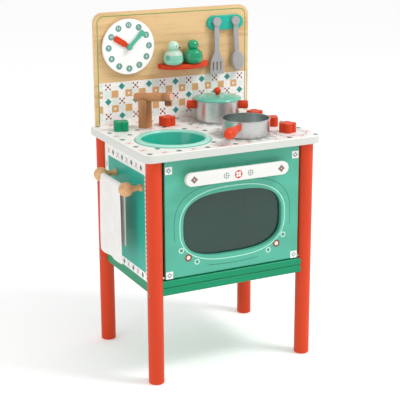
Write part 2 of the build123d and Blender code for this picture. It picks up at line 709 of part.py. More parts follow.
with BuildPart() as spoon:
    with BuildSketch(hanging_plane(spoon_x, spoon_tilt)):
        with Locations((0, -40)):
            Rectangle(shaft_width, 74)
    extrude(amount=4.5)
    with BuildSketch(hanging_plane(spoon_x, spoon_tilt)):
        with Locations((0, -97)):
            Ellipse(16.2, 25)
    extrude(amount=9.0)
    fillet(spoon.edges().filter_by(GeomType.ELLIPSE).group_by(Axis.Y)[0], 3.5)
    with BuildSketch(hanging_plane(spoon_x, spoon_tilt)):
        Circle(head_radius)
    extrude(amount=utensil_thickness)
    with BuildSketch(hanging_plane(spoon_x, 0)):
        Circle(peg_hole)
    extrude(amount=hole_depth, mode=Mode.SUBTRACT)
save(spoon, "spoon")

# ---- towel rail on two turned pegs, its screws, and the towel ----------------------------
rail_x = -(panel_face + peg_reach)
ball_neck, ball_start = 9.0, peg_reach - sqrt(peg_ball ** 2 - 9.0 ** 2)
for name, y in (("rail_peg_front", peg_front), ("rail_peg_rear", peg_rear)):
    with BuildPart() as peg:
        turning = Plane(origin=(cabinet_x - panel_face, cabinet_y + y, towel_rail_z),
                        x_dir=(-1, 0, 0), z_dir=(0, 1, 0))
        with BuildSketch(turning):
            with BuildLine():
                Line((0, 0), (0, 8.5))
                Line((0, 8.5), (3, 8.5))
                Spline((3, 8.5), (9, 5.8), (17, 6.6), (ball_start, ball_neck),
                       tangents=[(1, -0.6), (1, 0.6)])
                ThreePointArc((ball_start, ball_neck), (peg_reach, peg_ball), (peg_reach + peg_ball, 0))
                Line((peg_reach + peg_ball, 0), (0, 0))
            make_face()
        revolve(axis=Axis(turning.origin, (-1, 0, 0)))
        inward = 1 if y < 0 else -1
        with BuildSketch(facing(y, rail_x, towel_rail_z)):
            Circle(towel_rail_diameter / 2)
        extrude(amount=-inward * 20, mode=Mode.SUBTRACT)
        with BuildSketch(flank(-panel_face, y, towel_rail_z)):
            Circle(rail_screw_radius)
        extrude(amount=20, mode=Mode.SUBTRACT)
    save(peg, name)

with BuildPart() as towel_rail:
    with BuildSketch(facing(peg_front, rail_x, towel_rail_z)):
        Circle(towel_rail_diameter / 2 - 0.02)
    extrude(amount=-(peg_rear - peg_front))
save(towel_rail, "towel_rail")

with BuildPart() as rail_screws:
    for y in (peg_front, peg_rear):
        with BuildSketch(flank(-panel_face + panel_thickness + 2.4, y, towel_rail_z)):
            Circle(4)
        extrude(amount=2.4)
        with BuildSketch(flank(-panel_face + panel_thickness + 1.2, y, towel_rail_z)):
            Circle(rail_screw_radius - running_gap)
        extrude(amount=1.2 + panel_thickness + 18)
save(rail_screws, "rail_screws")

towel_inner = towel_rail_diameter / 2 + 0.4
towel_outer = towel_inner + towel_thickness
outer_drop, inner_drop = towel_rail_z - towel_outer_bottom, towel_rail_z - towel_inner_bottom
with BuildPart() as towel:
    with BuildSketch(facing(towel_front, rail_x, towel_rail_z)):
        with BuildLine():
            Polyline((-towel_outer, 0), (-towel_outer, -outer_drop), (-towel_inner, -outer_drop),
                     (-towel_inner, 0))
            ThreePointArc((-towel_inner, 0), (0, towel_inner), (towel_inner, 0))
            Polyline((towel_inner, 0), (towel_inner, -inner_drop), (towel_outer, -inner_drop),
                     (towel_outer, 0))
            ThreePointArc((towel_outer, 0), (0, towel_outer), (-towel_outer, 0))
        make_face()
    extrude(amount=-(towel_rear_bottom - towel_front))
    with BuildSketch(flank(rail_x + 20)):
        with BuildLine():
            Polyline((-towel_front, 480), (-towel_rear_top, 480), (-towel_rear_top, towel_rail_z),
                     (-towel_rear_bottom, towel_outer_bottom - 2),
                     (-towel_front, towel_outer_bottom - 2), close=True)
        make_face()
    extrude(amount=40, mode=Mode.INTERSECT)
save(towel, "towel")
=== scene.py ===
"""Looks for the toy kitchen: painted and bare wood, printed patterns, steel cookware and a cloth towel.
Lengths are millimetres from the cabinet's centre line until place() turns them into the row's metres."""

import json
from math import cos, pi, radians, sin

import bpy
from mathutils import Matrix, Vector
from mathutils.bvhtree import BVHTree


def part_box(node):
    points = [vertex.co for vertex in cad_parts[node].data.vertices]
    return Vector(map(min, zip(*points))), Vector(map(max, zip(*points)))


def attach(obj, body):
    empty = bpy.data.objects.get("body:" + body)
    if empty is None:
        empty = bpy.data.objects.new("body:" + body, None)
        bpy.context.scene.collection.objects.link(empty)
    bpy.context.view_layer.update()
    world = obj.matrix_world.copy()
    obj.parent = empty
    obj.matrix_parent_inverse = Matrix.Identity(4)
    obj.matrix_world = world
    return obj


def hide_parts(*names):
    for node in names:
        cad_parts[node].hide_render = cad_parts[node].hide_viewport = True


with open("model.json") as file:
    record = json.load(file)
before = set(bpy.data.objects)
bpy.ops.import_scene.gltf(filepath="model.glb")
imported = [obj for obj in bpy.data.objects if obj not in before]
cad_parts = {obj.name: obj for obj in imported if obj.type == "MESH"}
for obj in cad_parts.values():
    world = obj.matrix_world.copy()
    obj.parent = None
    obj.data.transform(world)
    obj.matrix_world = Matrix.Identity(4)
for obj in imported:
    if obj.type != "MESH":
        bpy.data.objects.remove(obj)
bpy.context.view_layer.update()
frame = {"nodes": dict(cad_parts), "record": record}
nodes = frame["nodes"]

# ---- the cabinet's centre line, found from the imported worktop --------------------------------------
WORKTOP_REAR = 162.5  # from the centre line back to the worktop's rear edge
LIFT = 0.09  # how far each layer of ink stands off the one under it
worktop_low, worktop_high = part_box("worktop")
centre_x = (worktop_low.x + worktop_high.x) / 2
centre_y = worktop_high.y - WORKTOP_REAR / 1000
TOP = worktop_high.z * 1000


def place(x, y, z):
    return Vector((centre_x + x / 1000, centre_y + y / 1000, z / 1000))


def middle(node):
    """Centre of a CAD node's box, in cabinet millimetres."""
    low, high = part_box(node)
    mid = (low + high) / 2
    return Vector(((mid.x - centre_x) * 1000, (mid.y - centre_y) * 1000, mid.z * 1000))


def edge(node, side, axis):
    """One face of a CAD node's box, in cabinet millimetres: side 0 is low and 1 is high."""
    offset = (centre_x, centre_y, 0)[axis]
    return (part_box(node)[side][axis] - offset) * 1000


# ---- materials -------------------------------------------------------------------------------------
def linear(rgb):
    """A display colour, 0 to 255, as the linear colour that a shader wants."""
    out = []
    for value in rgb:
        c = value / 255
        out.append(c / 12.92 if c <= 0.04045 else ((c + 0.055) / 1.055) ** 2.4)
    return (*out, 1.0)


class Look:
    """A small builder round one material's nodes."""

    def __init__(self, name):
        self.material = bpy.data.materials.new(name)
        self.material.use_nodes = True
        self.tree = self.material.node_tree
        self.shader = self.tree.nodes["Principled BSDF"]
        self.coords = None

    def node(self, kind, **settings):
        made = self.tree.nodes.new(kind)
        for key, value in settings.items():
            setattr(made, key, value)
        return made

    def link(self, source, target):
        self.tree.links.new(source, target)

    def where(self, stretch=(1, 1, 1)):
        """Object coordinates, stretched."""
        if self.coords is None:
            self.coords = self.node("ShaderNodeTexCoord")
        mapping = self.node("ShaderNodeMapping")
        mapping.inputs["Scale"].default_value = stretch
        self.link(self.coords.outputs["Object"], mapping.inputs["Vector"])
        return mapping.outputs["Vector"]

    def noise(self, scale, detail=3.0, stretch=(1, 1, 1), rough=0.5):
        made = self.node("ShaderNodeTexNoise")
        made.inputs["Scale"].default_value = scale
        made.inputs["Detail"].default_value = detail
        made.inputs["Roughness"].default_value = rough
        self.link(self.where(stretch), made.inputs["Vector"])
        return made.outputs["Fac"]

    def ramp(self, source, stops, kind="LINEAR"):
        made = self.node("ShaderNodeValToRGB")
        made.color_ramp.interpolation = kind
        elements = made.color_ramp.elements
        while len(elements) < len(stops):
            elements.new(0.5)
        for element, (at, colour) in zip(elements, stops):
            element.position = at
            element.color = colour
        self.link(source, made.inputs["Fac"])
        return made.outputs["Color"]

    def mix(self, factor, a, b):
        made = self.node("ShaderNodeMix", data_type="RGBA")
        for socket, value in ((made.inputs[0], factor), (made.inputs[6], a), (made.inputs[7], b)):
            if isinstance(value, (int, float, tuple)):
                socket.default_value = value
            else:
                self.link(value, socket)
        return made.outputs[2]

    def bump(self, source, depth_mm, strength=1.0):
        made = self.node("ShaderNodeBump")
        made.inputs["Distance"].default_value = depth_mm / 1000
        made.inputs["Strength"].default_value = strength
        self.link(source, made.inputs["Height"])
        self.link(made.outputs["Normal"], self.shader.inputs["Normal"])

    def colour(self, source):
        if isinstance(source, tuple):
            self.shader.inputs["Base Color"].default_value = source
        else:
            self.link(source, self.shader.inputs["Base Color"])

    def surface(self, rough, metal=0.0, coat=0.0):
        self.shader.inputs["Roughness"].default_value = rough
        self.shader.inputs["Metallic"].default_value = metal
        self.shader.inputs["Coat Weight"].default_value = coat
        self.shader.inputs["Coat Roughness"].default_value = 0.15


def shade(colour, factor):
    return (*(min(1.0, c * factor) for c in colour[:3]), 1.0)


def paint(name, rgb, rough=0.42, along=(1, 1, 1), coat=0.1, spread=0.06):
    """Satin paint over wood: a faint tone drift and the ghost of the grain."""
    look = Look(name)
    base = linear(rgb)
    drift = look.noise(9.0, 2.0, along)
    look.colour(look.ramp(drift, [(0.3, shade(base, 1 - spread)), (0.7, shade(base, 1 + spread))]))
    look.surface(rough, coat=coat)
    look.shader.inputs["Specular IOR Level"].default_value = 0.22
    look.bump(look.noise(60.0, 4.0, along), 0.12, 0.5)
    return look.material


def wood(name, light_rgb, dark_rgb, along, rough=0.5, coat=0.0):
    """Bare or lacquered wood: long streaks along the grain and fine pores."""
    look = Look(name)
    light, dark = linear(light_rgb), linear(dark_rgb)
    streaks = look.noise(14.0, 5.0, along, 0.6)
    tone = look.ramp(streaks, [(0.32, dark), (0.5, light), (0.72, shade(light, 1.06))])
    pores = look.noise(126.0, 2.0, along)
    pore_depth = look.ramp(pores, [(0.42, (0.22, 0.22, 0.22, 1)), (0.56, (0, 0, 0, 1))])
    look.colour(look.mix(pore_depth, tone, dark))
    look.surface(rough, coat=coat)
    look.bump(pores, 0.08, 0.6)
    return look.material


def ink(name, rgb, rough=0.45):
    """Screen-printed ink: flat, with the slightest unevenness."""
    look = Look(name)
    base = linear(rgb)
    look.colour(look.ramp(look.noise(120.0, 1.0), [(0.3, shade(base, 0.95)), (0.7, shade(base, 1.05))]))
    look.surface(rough)
    return look.material


def steel(name, rgb, turned=False):
    """Metal brushed round an upright axis, or all over."""
    look = Look(name)
    fine = look.noise(70.0, 3.0, (1, 1, 14) if turned else (1, 1, 1))
    base = linear(rgb)
    look.colour(look.ramp(fine, [(0.35, shade(base, 0.9)), (0.65, shade(base, 1.05))]))
    look.surface(0.3, metal=1.0)
    look.bump(fine, 0.02, 0.5)
    return look


ORANGE, GREEN, MINT, TEAL = (212, 62, 20), (0, 142, 98), (86, 178, 152), (34, 174, 152)
# the grey of the worktop's edges is painted shade, for faces that take less light than the top
TOP_WHITE, EDGE_PAINTED_SHADE = (232, 231, 227), (208, 211, 204)
looks = {
    "leg_paint": paint("orange_satin", ORANGE, along=(3, 3, 0.4)),
    "white_print": paint("white_lacquer", TOP_WHITE, rough=0.35, spread=0.015),
    "board_wood": wood("pale_board", (225, 190, 137), (208, 166, 112), (0.5, 3, 6), rough=0.42, coat=0.15),
    "mint_paint": paint("mint_satin", MINT, rough=0.42, along=(0.6, 2, 3)),
    "teal_paint": paint("teal_satin", TEAL, rough=0.42),
    "green_paint": paint("green_satin", GREEN, along=(0.5, 3, 3)),
    "raw_wood": wood("bare_wood", (222, 176, 126), (196, 144, 94), (3, 0.5, 3)),
    "brown_wood": wood("brown_wood", (190, 131, 82), (156, 98, 56), (3, 3, 0.6), rough=0.45, coat=0.1),
    "grey_paint": paint("grey_satin", (168, 166, 166), rough=0.4, along=(3, 3, 0.4)),
    "emerald_gloss": paint("emerald_gloss", (0, 150, 100), rough=0.12, coat=0.9, spread=0.03),
    "lid_enamel": paint("mint_enamel", (98, 184, 162), rough=0.22, coat=0.5, spread=0.03),
    "magnet_plastic": paint("off_white_plastic", (214, 212, 206), rough=0.5, coat=0.0),
    "screw_steel": steel("screw_steel", (190, 190, 188)).material,
}


def two_tone(name, below_rgb, above_rgb, z_from, z_to, rough, coat):
    """Satin surface with one tone under a height and another over it; heights in millimetres."""
    look = Look(name)
    height = look.node("ShaderNodeSeparateXYZ")
    look.link(look.where(), height.inputs[0])
    share = look.node("ShaderNodeMapRange")
    share.inputs["From Min"].default_value = z_from / 1000
    share.inputs["From Max"].default_value = z_to / 1000
    look.link(height.outputs["Z"], share.inputs["Value"])
    look.colour(look.mix(share.outputs["Result"], linear(below_rgb), linear(above_rgb)))
    look.surface(rough, coat=coat)
    look.bump(look.noise(40.0, 2.0), 0.05, 0.4)
    return look.material


# two enamel tones on the sink: a pale rim above the worktop and a deep bowl below
SINK_BOWL, SINK_RIM = (24, 176, 152), (158, 222, 205)
looks["sink_enamel"] = two_tone("sink_enamel", SINK_BOWL, SINK_RIM, TOP - 1.0, TOP + 1.4, 0.25, 0.4)


VESSEL_WALL, VESSEL_FLOOR = 0.0022, 0.0012  # metres in from the outside that still count as outside


def vessel_steel(node, name, hollow_light_rgb):
    """Brushed steel outside and another tone inside, told apart by place; the inside tone is painted light:
    painted shade in the pan's hollow and a painted lighter tone in the pot's.
    """
    look = steel(name, (202, 203, 201), turned=True)
    low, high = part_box(node)
    centre = (low + high) / 2
    outside = look.shader.inputs["Base Color"].links[0].from_socket
    position = look.where()
    shifted = look.node("ShaderNodeVectorMath", operation="SUBTRACT")
    shifted.inputs[1].default_value = centre
    look.link(position, shifted.inputs[0])
    flat = look.node("ShaderNodeVectorMath", operation="MULTIPLY")
    flat.inputs[1].default_value = (1, 1, 0)
    look.link(shifted.outputs[0], flat.inputs[0])
    reach = look.node("ShaderNodeVectorMath", operation="LENGTH")
    look.link(flat.outputs[0], reach.inputs[0])
    within = look.node("ShaderNodeMath", operation="LESS_THAN")
    within.inputs[1].default_value = (high.x - low.x) / 2 - VESSEL_WALL
    look.link(reach.outputs["Value"], within.inputs[0])
    height = look.node("ShaderNodeSeparateXYZ")
    look.link(position, height.inputs[0])
    above = look.node("ShaderNodeMath", operation="GREATER_THAN")
    above.inputs[1].default_value = low.z + VESSEL_FLOOR
    look.link(height.outputs["Z"], above.inputs[0])
    inside = look.node("ShaderNodeMath", operation="MULTIPLY")
    look.link(within.outputs[0], inside.inputs[0])
    look.link(above.outputs[0], inside.inputs[1])
    look.colour(look.mix(inside.outputs[0], outside, linear(hollow_light_rgb)))
    return look.material


pane = Look("smoked_pane")
pane.colour(pane.ramp(pane.noise(6.0, 1.0), [(0.3, linear((24, 60, 50))), (0.7, linear((30, 68, 58)))]))
pane.surface(0.12, coat=0.2)
pane.shader.inputs["Alpha"].default_value = 0.82
looks["smoke_pane"] = pane.material

# the pale bird: mint body, a dusty chest band and a light head, by height on the bird
bird = Look("pale_bird")
bird_low, bird_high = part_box("mint_bird")
bird_height = bird.node("ShaderNodeSeparateXYZ")
bird.link(bird.where(), bird_height.inputs[0])
bird_share = bird.node("ShaderNodeMapRange")
bird_share.inputs["From Min"].default_value = bird_low.z
bird_share.inputs["From Max"].default_value = bird_high.z
bird.link(bird_height.outputs["Z"], bird_share.inputs["Value"])
bird.colour(bird.ramp(bird_share.outputs["Result"], [
    (0.0, linear((134, 210, 180))), (0.4, linear((138, 212, 184))), (0.44, linear((190, 205, 190))),
    (0.58, linear((182, 204, 186))), (0.62, linear((150, 208, 182))), (1.0, linear((196, 222, 200)))]))
bird.surface(0.3, coat=0.3)
bird.bump(bird.noise(60.0, 2.0), 0.05, 0.4)
looks["pale_paint"] = bird.material

# woven cotton: two crossed fine waves
cotton = Look("white_cotton")
fluff = cotton.noise(30.0, 3.0)
cotton.colour(cotton.ramp(fluff, [(0.3, linear((230, 228, 224))), (0.7, linear((238, 236, 232)))]))
weave = []
for across in ("Y", "Z"):
    wave = cotton.node("ShaderNodeTexWave", bands_direction=across)
    wave.inputs["Scale"].default_value = 260.0
    cotton.link(cotton.where(), wave.inputs["Vector"])
    weave.append(wave.outputs["Fac"])
threads = cotton.node("ShaderNodeMath", operation="MULTIPLY")
cotton.link(weave[0], threads.inputs[0])
cotton.link(weave[1], threads.inputs[1])
cotton.bump(threads.outputs[0], 0.15, 0.5)
cotton.surface(0.9)
cotton.shader.inputs["Sheen Weight"].default_value = 0.2
looks["towel_cotton"] = cotton.material

# pieces whose look differs from their slot's
special = {
    # the nozzle is brown wood made darker than the brown_wood look: the extra darkness is painted shade
    "tap_nozzle": wood("nozzle_painted_shade", (128, 72, 48), (98, 52, 36), (3, 3, 0.6), rough=0.5),
    # the worktop's edges and underside below the top surface get a grey: painted shade for faces that take
    # less light than the white top
    "worktop": two_tone("white_worktop", EDGE_PAINTED_SHADE, TOP_WHITE, TOP - 1.2, TOP - 0.3, 0.35, 0.1),
    # the tones inside the pot and the pan are painted light: painted shade inside the pan, a painted lighter
    # tone inside the pot
    "pot_body": vessel_steel("pot_body", "pot_steel", (222, 224, 222)),
    "pan_body": vessel_steel("pan_body", "pan_steel", (196, 204, 202)),
    "floor_board": paint("green_floor", GREEN, along=(3, 0.5, 3)),
    "clock_face": paint("clock_white", (250, 249, 247), rough=0.4, spread=0.01),
}
for part in frame["record"]["subparts"]:
    node, slot = part["node"], part["material_slot"]
    nodes[node].data.materials.clear()
    nodes[node].data.materials.append(special.get(node) or looks[slot])

inks = {
    "white": ink("ink_white", (246, 244, 240)),
    "tan": ink("ink_bare_tan", (216, 168, 112)),
    "pale": ink("ink_grey_mint", (228, 234, 228)),
    "teal": ink("ink_teal", (48, 142, 132)),
    "halo": ink("ink_halo", (222, 240, 234)),
    "wine": ink("ink_wine", (108, 24, 44)),
    "rose": ink("ink_rose", (208, 88, 92)),
    "blush": ink("ink_blush", (240, 196, 184)),
    "moss": ink("ink_dark_green", (48, 104, 92)),
    "frame": ink("ink_frame_green", (124, 156, 84)),
    "brown": ink("ink_brown_grey", (136, 112, 98)),
    "red": ink("ink_red", (204, 66, 50)),
    "maroon": ink("ink_maroon", (122, 62, 52)),
    "cream": ink("ink_cream", (252, 222, 208)),
    "mauve": ink("ink_mauve", (150, 80, 104)),
    "sage": ink("ink_sage", (112, 160, 142)),
    "mist": ink("ink_mist", (170, 226, 206)),
    "night": ink("ink_night", (34, 92, 84)),
    "slate": ink("ink_slate", (104, 156, 146)),
}


# ---- flat printed shapes: lists of outlines in a surface's own millimetres -------------------------
DIAGONALS = ((1, 1), (1, -1), (-1, 1), (-1, -1))


def disc(u, v, r, points=20):
    return [[(u + r * cos(2 * pi * k / points), v + r * sin(2 * pi * k / points)) for k in range(points)]]


def band(path, width, closed=False):
    """A line of even width along a path."""
    count = len(path)
    left, right = [], []
    for k, (u, v) in enumerate(path):
        before = path[(k - 1) % count] if closed or k > 0 else path[k]
        after = path[(k + 1) % count] if closed or k < count - 1 else path[k]
        du, dv = after[0] - before[0], after[1] - before[1]
        length = (du * du + dv * dv) ** 0.5 or 1.0
        nu, nv = -dv / length * width / 2, du / length * width / 2
        left.append((u + nu, v + nv))
        right.append((u - nu, v - nv))
    spans = range(count) if closed else range(count - 1)
    return [[right[k], right[(k + 1) % count], left[(k + 1) % count], left[k]] for k in spans]


def ring(u, v, r, width, points=40):
    return band(disc(u, v, r, points)[0], width, closed=True)


def diamond(u, v, half, tall=None):
    tall = tall or half
    return [[(u + half, v), (u, v + tall), (u - half, v), (u, v - tall)]]


def square(u, v, half, tall=None):
    tall = tall or half
    return [[(u - half, v - tall), (u + half, v - tall), (u + half, v + tall), (u - half, v + tall)]]


def span(u0, u1, v0, v1):
    """A rectangle given by its edges."""
    return square((u0 + u1) / 2, (v0 + v1) / 2, (u1 - u0) / 2, (v1 - v0) / 2)


def cross(u, v, arm, width):
    """Two crossed bars: one whole, and the other in two halves, so that none lie on each other."""
    reach, gap = arm * sin(pi / 4), width / 2 * sin(pi / 4)
    shapes = band([(u - reach, v - reach), (u + reach, v + reach)], width)
    for side in (1, -1):
        shapes += band([(u - side * gap, v + side * gap), (u - side * reach, v + side * reach)], width)
    return shapes


def five_dots(u, v, spread, r):
    """A dot with four smaller ones on its diagonals."""
    shapes = disc(u, v, r * 1.25, 10)
    for du, dv in DIAGONALS:
        shapes += disc(u + du * spread, v + dv * spread, r, 8)
    return shapes


def flower(u, v, spread, r):
    """A dot, which comes first, with eight round it."""
    shapes = disc(u, v, r, 8)
    for k in range(8):
        shapes += disc(u + spread * cos(pi * k / 4), v + spread * sin(pi * k / 4), r * 0.85, 6)
    return shapes


def rounded(u0, u1, v0, v1, r, steps=8):
    """The outline of a rectangle with round corners."""
    path = []
    left, right, low, high = u0 + r, u1 - r, v0 + r, v1 - r
    for cu, cv, start in ((right, high, 0), (left, high, 90), (left, low, 180), (right, low, 270)):
        for k in range(steps + 1):
            angle = radians(start + 90 * k / steps)
            path.append((cu + r * cos(angle), cv + r * sin(angle)))
    return path


def oblong(a, b, power, centre, start, stop, steps):
    """Part of a superellipse round a height, between two angles in degrees."""
    path = []
    for k in range(steps + 1):
        angle = radians(start + (stop - start) * k / steps)
        c, s = cos(angle), sin(angle)
        u = a * (1 if c >= 0 else -1) * abs(c) ** (2 / power)
        v = b * (1 if s >= 0 else -1) * abs(s) ** (2 / power)
        path.append((u, centre + v))
    return path


def mesh_piece(name, points, faces, material, body, smooth=False):
    mesh = bpy.data.meshes.new(name)
    mesh.from_pydata(points, [], faces)
    mesh.update()
    if smooth:
        mesh.shade_smooth()
    piece = bpy.data.objects.new(name, mesh)
    bpy.context.scene.collection.objects.link(piece)
    mesh.materials.append(material)
    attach(piece, body)
    return piece


def printed(name, shapes, surface, colour, body, layer=1):
    """Prints shapes on a surface: surface(u, v, lift) gives the point lift millimetres above it."""
    points, faces = [], []
    for shape in shapes:
        first = len(points)
        points += [surface(u, v, LIFT * layer) for u, v in shape]
        faces.append(list(range(first, len(points))))
    return mesh_piece(name, points, faces, inks[colour], body)


# ---- backboard: frame line and tile field ----------------------------------------------------------
FRAME_INSET, FRAME_WIDTH, FRAME_CORNER, FRAME_STEPS = 8.6, 2.2, 16.0, 8
TILE, FIRST_TILE_U, FIRST_TILE_V, FIELD_TOP = 17.3, -168.5, 614.3, 624.6
TILE_ROWS, TILE_COLUMNS, TILE_SHRINK = 6, 22, 0.97
board_front = edge("backboard", 0, 1)
line_left, line_right = edge("backboard", 0, 0) + FRAME_INSET, edge("backboard", 1, 0) - FRAME_INSET
line_top = edge("backboard", 1, 2) - FRAME_INSET


def on_board(u, v, lift):
    return place(u, board_front - lift, v)


frame_path = [(line_left, TOP + 1)]
for cu, start in ((line_left + FRAME_CORNER, 180), (line_right - FRAME_CORNER, 90)):
    for k in range(FRAME_STEPS + 1):
        angle = radians(start - 90 * k / FRAME_STEPS)
        cv = line_top - FRAME_CORNER
        frame_path.append((cu + FRAME_CORNER * cos(angle), cv + FRAME_CORNER * sin(angle)))
frame_path.append((line_right, TOP + 1))
printed("board_frame_line", band(frame_path, FRAME_WIDTH), on_board, "frame", "cabinet", 2)

field_left, field_right = line_left + 1.5, line_right + 3.3
field = span(field_left, field_right, TOP + 0.5, FIELD_TOP)
printed("tile_field", field, on_board, "white", "cabinet")
tans, dots_on_tan, pales, diamonds, halos, dots, rays = [], [], [], [], [], [], []
for row in range(TILE_ROWS):
    for column in range(-1, TILE_COLUMNS):
        u, v = FIRST_TILE_U + TILE * column, FIRST_TILE_V - TILE * row
        if u - 4 < field_left or u + 4 > field_right or v - 6 < TOP:
            continue
        half = min(TILE / 2, u - field_left, field_right - u)
        if row % 2 == 1 and column % 2 != 0:
            tans += square(u, v, half * TILE_SHRINK, TILE / 2 * TILE_SHRINK)
            if (row // 2 + (column + 1) // 2) % 2 == 0:
                dots_on_tan += disc(u, v, 2.6, 10)
        elif row % 2 == 0 and column % 2 == 0:
            if (column // 2 + row // 2) % 2 == 0:
                dots += five_dots(u, v, 5.1, 2.0)
                rays += cross(u, v, 10.5, 1.8)
            else:
                halos += diamond(u, v, 10.4)
                diamonds += diamond(u, v, 8.0)
        elif (column * 3 + row * 5) % 4 == 1:
            pales += square(u, v, half, TILE / 2)
for name, shapes, colour, layer in (("tile_tan", tans, "tan", 2), ("tile_pale", pales, "pale", 2),
                                    ("tile_halos", halos, "halo", 3), ("tile_diamonds", diamonds, "teal", 4),
                                    ("tile_rays", rays, "blush", 3), ("tile_dots", dots, "wine", 4),
                                    ("tile_tan_dots", dots_on_tan, "white", 3)):
    printed(name, shapes, on_board, colour, "cabinet", layer)


# ---- worktop: scattered marks, burners and the knob panel ------------------------------------------
STEP_U, STEP_V, GRID_U, GRID_V = 33.9, 37.1, -200.0, -152.0
SINK_CLEAR, COOKWARE_CLEAR, BOARD_CLEAR, PANEL_CLEAR, EDGE_CLEAR = 88, 72, 5, 6, 3.5
PANEL_U0, PANEL_U1, PANEL_V0, PANEL_V1, PANEL_CORNER = 131.0, 196.0, -141.0, 90.0, 12
MARK_HALF, BURNER_PETALS = 7.4, 16
sink_mid, pot_mid, pan_mid = middle("sink_bowl"), middle("pot_body"), middle("pan_body")
sink_reach = (edge("sink_bowl", 1, 0) - edge("sink_bowl", 0, 0)) / 2
top_right = edge("worktop", 1, 0)


def on_top(u, v, lift):
    return place(u, v, TOP + lift)


def covered(u, v):
    """Whether a mark at this place would run under something that stands on the worktop."""
    spot = Vector((u, v))
    near_sink = (spot - sink_mid.xy).length < SINK_CLEAR
    near_cookware = min((spot - pot_mid.xy).length, (spot - pan_mid.xy).length) < COOKWARE_CLEAR
    beside_panel = PANEL_U0 - PANEL_CLEAR < u < PANEL_U1 + PANEL_CLEAR
    in_panel = beside_panel and PANEL_V0 - PANEL_CLEAR < v < PANEL_V1 + PANEL_CLEAR
    return v > board_front - BOARD_CLEAR or near_sink or near_cookware or in_panel


marks, crosses = [], []
for column in range(13):
    for row in range(9):
        u, v = GRID_U + STEP_U * column, GRID_V + STEP_V * row
        if covered(u, v):
            continue
        if (column + row) % 2 == 0:
            marks += diamond(u, v, min(MARK_HALF, top_right - EDGE_CLEAR - abs(u)), MARK_HALF)
        else:
            crosses += cross(u, v, 9.4, 1.9)
sink_line = ring(sink_mid.x, sink_mid.y, sink_reach + 0.9, 1.6, 72)
panel_line = band(rounded(PANEL_U0, PANEL_U1, PANEL_V0, PANEL_V1, PANEL_CORNER), 1.8, True)
for name, shapes, colour in (("top_diamonds", marks, "moss"), ("top_crosses", crosses, "rose"),
                             ("sink_outline", sink_line, "sage"), ("knob_panel_line", panel_line, "wine")):
    printed(name, shapes, on_top, colour, "cabinet")
for name, mid, reach in (("pot_burner", pot_mid, 62.0), ("pan_burner", pan_mid, 63.0)):
    rings, petals, seeds = [], [], []
    for r, width, points in ((reach - 8, 1.8, 60), (reach + 7, 1.4, 60), (20, 1.0, 40), (34, 1.0, 40)):
        rings += ring(mid.x, mid.y, r, width, points)
    for k in range(BURNER_PETALS):
        c, s = cos(2 * pi * k / BURNER_PETALS), sin(2 * pi * k / BURNER_PETALS)
        petals += ring(mid.x + (reach - 2) * c, mid.y + (reach - 2) * s, 6.0, 1.3, 14)
        seeds += disc(mid.x + (reach - 2) * c, mid.y + (reach - 2) * s, 2.0, 8)
        petals += ring(mid.x + 27 * c, mid.y + 27 * s, 4.0, 0.8, 10)
    printed(name + "_rings", rings, on_top, "sage", "cabinet")
    printed(name + "_petals", petals, on_top, "wine", "cabinet", 2)
    printed(name + "_seeds", seeds, on_top, "wine", "cabinet", 2)

# ---- door: ring line, arcs, rosettes, sprigs and corner tiles --------------------------------------
WINDOW_Z, ARC_LOW_Z, ARC_LOW_HALF, ARC_LOW_SAG = 350.0, 258.5, 62.5, 3.4
ROSETTE_U, ROSETTE_Z = 110.6, 282.3
SPRIGS = ((-127.7, 301), (127.7, 301), (-89.5, 269.8), (89.5, 269.8))
CORNER_U, CORNER_LOW, CORNER_HIGH = 156.5, 248.6, 484.0
door_front = edge("door_panel", 0, 1)


def on_door(u, v, lift):
    return place(u, door_front - lift, v)


door_ring = band(oblong(131, 82.5, 2.6, WINDOW_Z, 0, 357, 119), 2.4, True)
arc_top = band(oblong(144.7, 95, 2.8, WINDOW_Z - 0.5, -9, 189, 90), 1.1)
arc_path = [(u, ARC_LOW_Z - ARC_LOW_SAG * (1 - (u / ARC_LOW_HALF) ** 2)) for u in range(-62, 63, 4)]
arc_low = band(arc_path, 1.1)
rosettes, hearts, sprigs, buds, corners, lozenges, eyes = [], [], [], [], [], [], []
for u in (-ROSETTE_U, ROSETTE_U):
    rosettes += disc(u, ROSETTE_Z, 8.6, 28)
    hearts += disc(u, ROSETTE_Z, 4.7, 20)
for u, v in SPRIGS:
    bud, *petals = flower(u, v, 5.4, 2.0)
    buds.append(bud)
    sprigs += petals
for u in (-CORNER_U, CORNER_U):
    for v in (CORNER_HIGH, CORNER_LOW):
        corners += square(u, v, 8.4)
        lozenges += diamond(u, v, 6.2)
        eyes += diamond(u, v, 3.0)
for name, shapes, colour, layer in (("door_ring", door_ring, "mist", 1),
                                    ("door_arc_top", arc_top, "night", 1),
                                    ("door_arc_low", arc_low, "night", 1),
                                    ("door_rosettes", rosettes, "maroon", 1),
                                    ("door_rosette_hearts", hearts, "cream", 2),
                                    ("door_sprigs", sprigs, "halo", 1),
                                    ("door_buds", buds, "night", 1),
                                    ("door_corners", corners, "white", 1),
                                    ("door_lozenges", lozenges, "sage", 2),
                                    ("door_lozenge_eyes", eyes, "white", 3)):
    printed(name, shapes, on_door, colour, "door", layer)

# ---- oven handle -----------------------------------------------------------------------------------
HANDLE_DIAMOND_U, HANDLE_SPRIG_U = 107, 29.4
handle_front, handle_z = edge("door_handle", 0, 1), middle("door_handle").z


def on_handle(u, v, lift):
    return place(u, handle_front - lift, handle_z + v)


